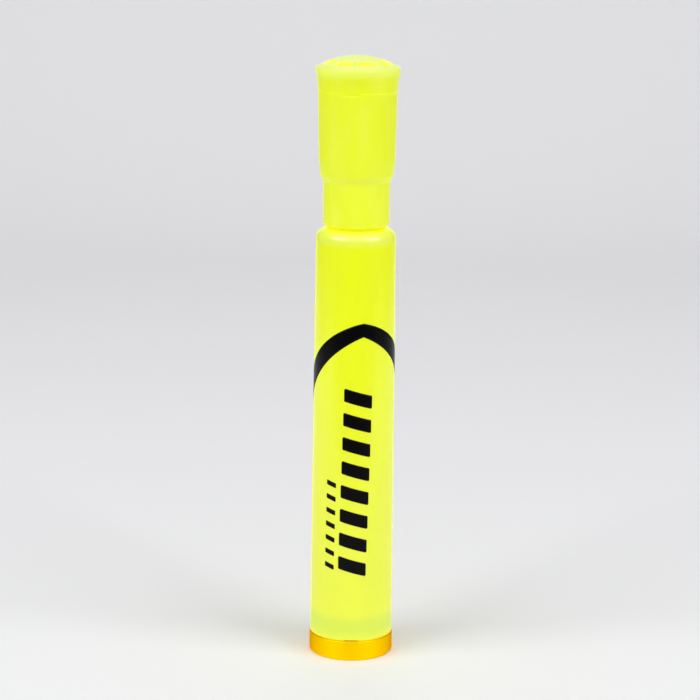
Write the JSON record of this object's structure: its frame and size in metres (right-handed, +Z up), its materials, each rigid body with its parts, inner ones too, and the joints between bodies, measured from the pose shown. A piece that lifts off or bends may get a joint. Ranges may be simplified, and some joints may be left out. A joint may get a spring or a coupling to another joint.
{
  "type": "highlighter pen",
  "caption": "Upright capped highlighter: a tapered yellow barrel on a gold turning ring that screws a chisel nib in and out, under a vented pull-off cap",
  "frame": {"origin": "centre of the turning ring's underside, on the surface that the pen stands on", "axes": "+Z up the pen's axis from base to cap; -Y is the side with the printed bars; +X is to the right of that side"},
  "size_m": [0.017, 0.017, 0.1218],
  "materials": {
    "barrel_plastic": null,
    "cap_plastic": "satin moulded polypropylene, fluorescent yellow, slightly translucent",
    "nose_plastic": "moulded polypropylene, deep yellow",
    "gold_aluminium": "anodised gold, satin",
    "natural_plastic": "natural acetal",
    "cartridge_plastic": "thin clear polypropylene tinted by the ink",
    "seal_rubber": "nitrile",
    "pad_rubber": "matt foamed rubber",
    "spring_steel": "bright spring steel",
    "ink_fibre": "polyester fibre soaked in yellow ink",
    "nib_felt": "bonded polyester felt, chisel cut"
  },
  "bodies": {
    "barrel": {"barrel_tube": "barrel_plastic", "nose_cone": "nose_plastic", "nose_seal": "seal_rubber", "tail_bush": "natural_plastic", "guide_sleeve": "natural_plastic", "return_spring": "spring_steel"},
    "ring": {"turning_ring": "gold_aluminium", "knob_hub": "natural_plastic", "base_pad": "pad_rubber", "drag_washer": "pad_rubber", "drag_o_ring": "seal_rubber", "hub_clip": "spring_steel", "spindle": "natural_plastic"},
    "cartridge": {"drive_nut": "natural_plastic", "cartridge_plug": "natural_plastic", "cartridge_tube": "cartridge_plastic", "ink_reservoir": "ink_fibre", "reservoir_film": "cartridge_plastic", "nib_holder": "natural_plastic", "holder_seal": "seal_rubber", "nib_retainer": "spring_steel", "nib": "nib_felt"},
    "cap": {"cap_shell": "cap_plastic", "cap_crown": "cap_plastic", "cap_liner": "cap_plastic"}
  },
  "joints": [
    {"name": "ring_turn", "type": "hinge", "parent": "barrel", "child": "ring", "pos_m": [0, 0, 0], "axis": [0, 0, 1], "range_deg": [0, 720]},
    {"name": "nib_slide", "type": "slide", "parent": "barrel", "child": "cartridge", "axis": [0, 0, 1], "range_m": [0, 0.008], "deforming": ["return_spring"]},
    {"name": "cap_pull", "type": "slide", "parent": "barrel", "child": "cap", "axis": [0, 0, 1], "range_m": [0, 0.04]}
  ],
  "couplings": [
    {"joint": "nib_slide", "follows": "ring_turn", "m_per_rad": 0.00063662}
  ]
}
